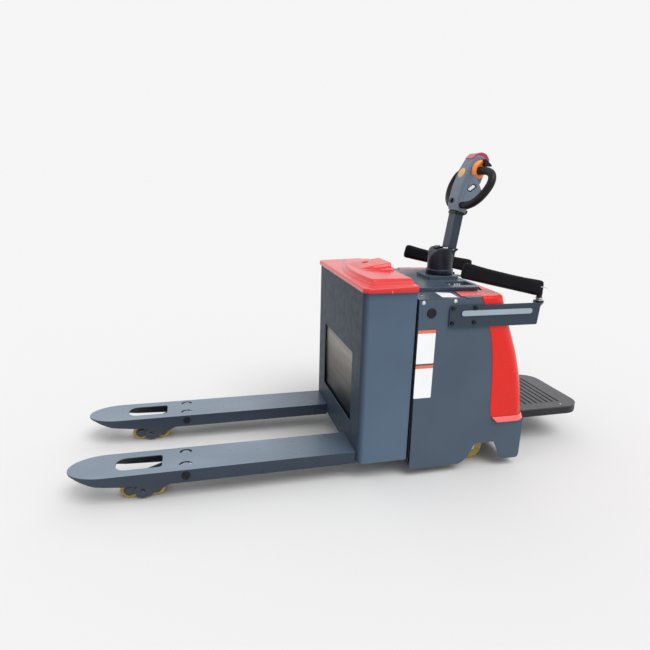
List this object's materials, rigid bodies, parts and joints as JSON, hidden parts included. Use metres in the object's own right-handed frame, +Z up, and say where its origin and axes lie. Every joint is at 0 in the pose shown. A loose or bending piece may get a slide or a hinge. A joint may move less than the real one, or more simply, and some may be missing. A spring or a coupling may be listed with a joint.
{
  "type": "electric pallet truck",
  "caption": "Ride-on powered pallet truck with long tapered forks, battery box, steering tiller, padded side guards and a folding operator platform.",
  "frame": {"origin": "on the floor, midway along the truck's length and width, with the forks raised 48 mm from their lowest", "axes": "+X from the fork tips towards the operator's platform, +Y across towards the operator's right, +Z up"},
  "size_m": [2.377, 0.786, 1.3899],
  "materials": {
    "body_paint": "satin dark blue-grey powder coat",
    "red_cover": "moulded red plastic, semi-gloss",
    "black_plastic": "grained black moulding",
    "grey_plastic": "fine-grained grey moulding",
    "orange_plastic": "smooth orange key cap",
    "rubber": "matt black rubber",
    "polyurethane": "olive-yellow cast polyurethane",
    "steel": "zinc-plated steel",
    "cast_iron": "black-painted castings",
    "battery_case": "dull brown-grey metal case"
  },
  "bodies": {
    "chassis": {"chassis_frame": "body_paint", "side_panel_left": "body_paint", "side_panel_right": "body_paint", "rear_skirt": "body_paint", "rear_cover": "red_cover", "top_deck": "body_paint", "console_cover": "body_paint", "hydraulic_unit": "cast_iron", "lift_cylinder": "cast_iron", "motor_controller": "cast_iron", "guard_bracket_left": "body_paint", "guard_bracket_right": "body_paint", "bracket_bolts_left": "steel", "bracket_bolts_right": "steel"},
    "carriage": {"battery_box": "body_paint", "battery_pack": "battery_case", "lift_ram": "steel", "fork_left": "body_paint", "fork_right": "body_paint", "arm_axle_left": "steel", "arm_axle_right": "steel"},
    "lid": {"battery_lid": "red_cover"},
    "rocker": {"rocker_shaft": "steel"},
    "rod_left": {"pull_rod_left": "steel"},
    "arm_left": {"load_arm_left": "body_paint"},
    "bogie_left": {"bogie_left": "steel"},
    "roller_left_front": {"load_roller_left_front": "polyurethane"},
    "roller_left_rear": {"load_roller_left_rear": "polyurethane"},
    "rod_right": {"pull_rod_right": "steel"},
    "arm_right": {"load_arm_right": "body_paint"},
    "bogie_right": {"bogie_right": "steel"},
    "roller_right_front": {"load_roller_right_front": "polyurethane"},
    "roller_right_rear": {"load_roller_right_rear": "polyurethane"},
    "drive_unit": {"drive_motor": "cast_iron", "drive_gearbox": "cast_iron", "steering_column": "steel", "tiller_boot": "black_plastic"},
    "drive_wheel": {"drive_wheel": "polyurethane"},
    "tiller": {"tiller_tube": "body_paint", "tiller_pin": "steel", "tiller_head": "grey_plastic", "grip_left": "rubber", "grip_right": "rubber"},
    "throttle": {"throttle": "black_plastic"},
    "belly_button": {"belly_button": "red_cover"},
    "horn_button": {"horn_button": "orange_plastic"},
    "lift_button": {"lift_button": "orange_plastic"},
    "lower_button": {"lower_button": "orange_plastic"},
    "key": {"key_switch": "steel"},
    "emergency_stop": {"emergency_stop": "red_cover"},
    "caster_left": {"caster_fork_left": "steel"},
    "caster_wheel_left": {"caster_wheel_left": "polyurethane"},
    "guard_left": {"guard_arm_left": "steel", "guard_pad_left": "rubber"},
    "caster_right": {"caster_fork_right": "steel"},
    "caster_wheel_right": {"caster_wheel_right": "polyurethane"},
    "guard_right": {"guard_arm_right": "steel", "guard_pad_right": "rubber"},
    "platform": {"platform_plate": "black_plastic", "platform_mat": "rubber"}
  },
  "joints": [
    {"name": "lift", "type": "slide", "parent": "chassis", "child": "carriage", "axis": [0, 0, 1], "range_m": [-0.048, 0.072]},
    {"name": "lid_hinge", "type": "hinge", "parent": "carriage", "child": "lid", "pos_m": [-0.045, 0, 0.827], "axis": [0, -1, 0], "range_deg": [0, 100]},
    {"name": "rocker_turn", "type": "hinge", "parent": "carriage", "child": "rocker", "pos_m": [0.1215, 0, 0.108], "axis": [0, -1, 0], "range_deg": [-16.32, 24.46]},
    {"name": "rod_slide_left", "type": "slide", "parent": "carriage", "child": "rod_left", "axis": [1, 0, 0], "range_m": [-0.00862, 0.01288]},
    {"name": "arm_turn_left", "type": "hinge", "parent": "carriage", "child": "arm_left", "pos_m": [-0.7405, -0.25, 0.108], "axis": [0, -1, 0], "range_deg": [-16.32, 24.46]},
    {"name": "bogie_rock_left", "type": "hinge", "parent": "arm_left", "child": "bogie_left", "pos_m": [-0.9095, -0.25, 0.037], "axis": [0, 1, 0], "range_deg": [-16.32, 24.46]},
    {"name": "roller_spin_left_front", "type": "hinge", "parent": "bogie_left", "child": "roller_left_front", "pos_m": [-0.9595, -0.25, 0.037], "axis": [0, 1, 0], "continuous": true},
    {"name": "roller_spin_left_rear", "type": "hinge", "parent": "bogie_left", "child": "roller_left_rear", "pos_m": [-0.8595, -0.25, 0.037], "axis": [0, 1, 0], "continuous": true},
    {"name": "rod_slide_right", "type": "slide", "parent": "carriage", "child": "rod_right", "axis": [1, 0, 0], "range_m": [-0.00862, 0.01288]},
    {"name": "arm_turn_right", "type": "hinge", "parent": "carriage", "child": "arm_right", "pos_m": [-0.7405, 0.25, 0.108], "axis": [0, -1, 0], "range_deg": [-16.32, 24.46]},
    {"name": "bogie_rock_right", "type": "hinge", "parent": "arm_right", "child": "bogie_right", "pos_m": [-0.9095, 0.25, 0.037], "axis": [0, 1, 0], "range_deg": [-16.32, 24.46]},
    {"name": "roller_spin_right_front", "type": "hinge", "parent": "bogie_right", "child": "roller_right_front", "pos_m": [-0.9595, 0.25, 0.037], "axis": [0, 1, 0], "continuous": true},
    {"name": "roller_spin_right_rear", "type": "hinge", "parent": "bogie_right", "child": "roller_right_rear", "pos_m": [-0.8595, 0.25, 0.037], "axis": [0, 1, 0], "continuous": true},
    {"name": "steering", "type": "hinge", "parent": "chassis", "child": "drive_unit", "pos_m": [0.452, 0, 0.831], "axis": [0, 0, 1], "range_deg": [-90, 90]},
    {"name": "drive_wheel_spin", "type": "hinge", "parent": "drive_unit", "child": "drive_wheel", "pos_m": [0.452, 0, 0.12], "axis": [0, 1, 0], "continuous": true},
    {"name": "tiller_tilt", "type": "hinge", "parent": "drive_unit", "child": "tiller", "pos_m": [0.4829, 0, 0.885], "axis": [0, 1, 0], "range_deg": [0, 75], "stiffness_Nm_per_rad": 30, "springref_deg": -28.65},
    {"name": "throttle_turn", "type": "hinge", "parent": "tiller", "child": "throttle", "pos_m": [0.60143, 0, 1.33453], "axis": [0, 1, 0], "range_deg": [-30, 30], "stiffness_Nm_per_rad": 0.5},
    {"name": "belly_press", "type": "slide", "parent": "tiller", "child": "belly_button", "axis": [-0.342, 0, -0.9397], "range_m": [0, 0.004], "stiffness_N_per_m": 1500, "springref_m": -0.004},
    {"name": "horn_press", "type": "slide", "parent": "tiller", "child": "horn_button", "axis": [0.9397, 0, -0.342], "range_m": [0, 0.003], "stiffness_N_per_m": 800, "springref_m": -0.003},
    {"name": "lift_press", "type": "slide", "parent": "tiller", "child": "lift_button", "axis": [-0.9397, 0, 0.342], "range_m": [0, 0.0025], "stiffness_N_per_m": 600, "springref_m": -0.003},
    {"name": "lower_press", "type": "slide", "parent": "tiller", "child": "lower_button", "axis": [-0.9397, 0, 0.342], "range_m": [0, 0.0025], "stiffness_N_per_m": 600, "springref_m": -0.003},
    {"name": "key_turn", "type": "hinge", "parent": "chassis", "child": "key", "pos_m": [0.4455, -0.145, 0.779], "axis": [0, 0, 1], "range_deg": [0, 90]},
    {"name": "stop_press", "type": "slide", "parent": "chassis", "child": "emergency_stop", "axis": [0, 0, -1], "range_m": [0, 0.004]},
    {"name": "caster_swivel_left", "type": "hinge", "parent": "chassis", "child": "caster_left", "pos_m": [0.5095, -0.26, 0.17], "axis": [0, 0, 1], "continuous": true},
    {"name": "caster_spin_left", "type": "hinge", "parent": "caster_left", "child": "caster_wheel_left", "pos_m": [0.5395, -0.26, 0.0625], "axis": [0, 1, 0], "continuous": true},
    {"name": "guard_swing_left", "type": "hinge", "parent": "chassis", "child": "guard_left", "pos_m": [0.7835, -0.308, 0.7745], "axis": [0, 0, 1], "range_deg": [0, 180]},
    {"name": "caster_swivel_right", "type": "hinge", "parent": "chassis", "child": "caster_right", "pos_m": [0.5095, 0.26, 0.17], "axis": [0, 0, 1], "continuous": true},
    {"name": "caster_spin_right", "type": "hinge", "parent": "caster_right", "child": "caster_wheel_right", "pos_m": [0.5395, 0.26, 0.0625], "axis": [0, 1, 0], "continuous": true},
    {"name": "guard_swing_right", "type": "hinge", "parent": "chassis", "child": "guard_right", "pos_m": [0.7835, 0.308, 0.7745], "axis": [0, 0, -1], "range_deg": [0, 180]},
    {"name": "platform_fold", "type": "hinge", "parent": "chassis", "child": "platform", "pos_m": [0.7665, 0, 0.17], "axis": [0, -1, 0], "range_deg": [0, 82]}
  ],
  "couplings": [
    {"joint": "rocker_turn", "follows": "lift", "rad_per_m": 5.917},
    {"joint": "rod_slide_left", "follows": "lift", "ratio": 0.1775},
    {"joint": "arm_turn_left", "follows": "lift", "rad_per_m": 5.917},
    {"joint": "bogie_rock_left", "follows": "lift", "rad_per_m": 5.917},
    {"joint": "rod_slide_right", "follows": "lift", "ratio": 0.1775},
    {"joint": "arm_turn_right", "follows": "lift", "rad_per_m": 5.917},
    {"joint": "bogie_rock_right", "follows": "lift", "rad_per_m": 5.917}
  ]
}
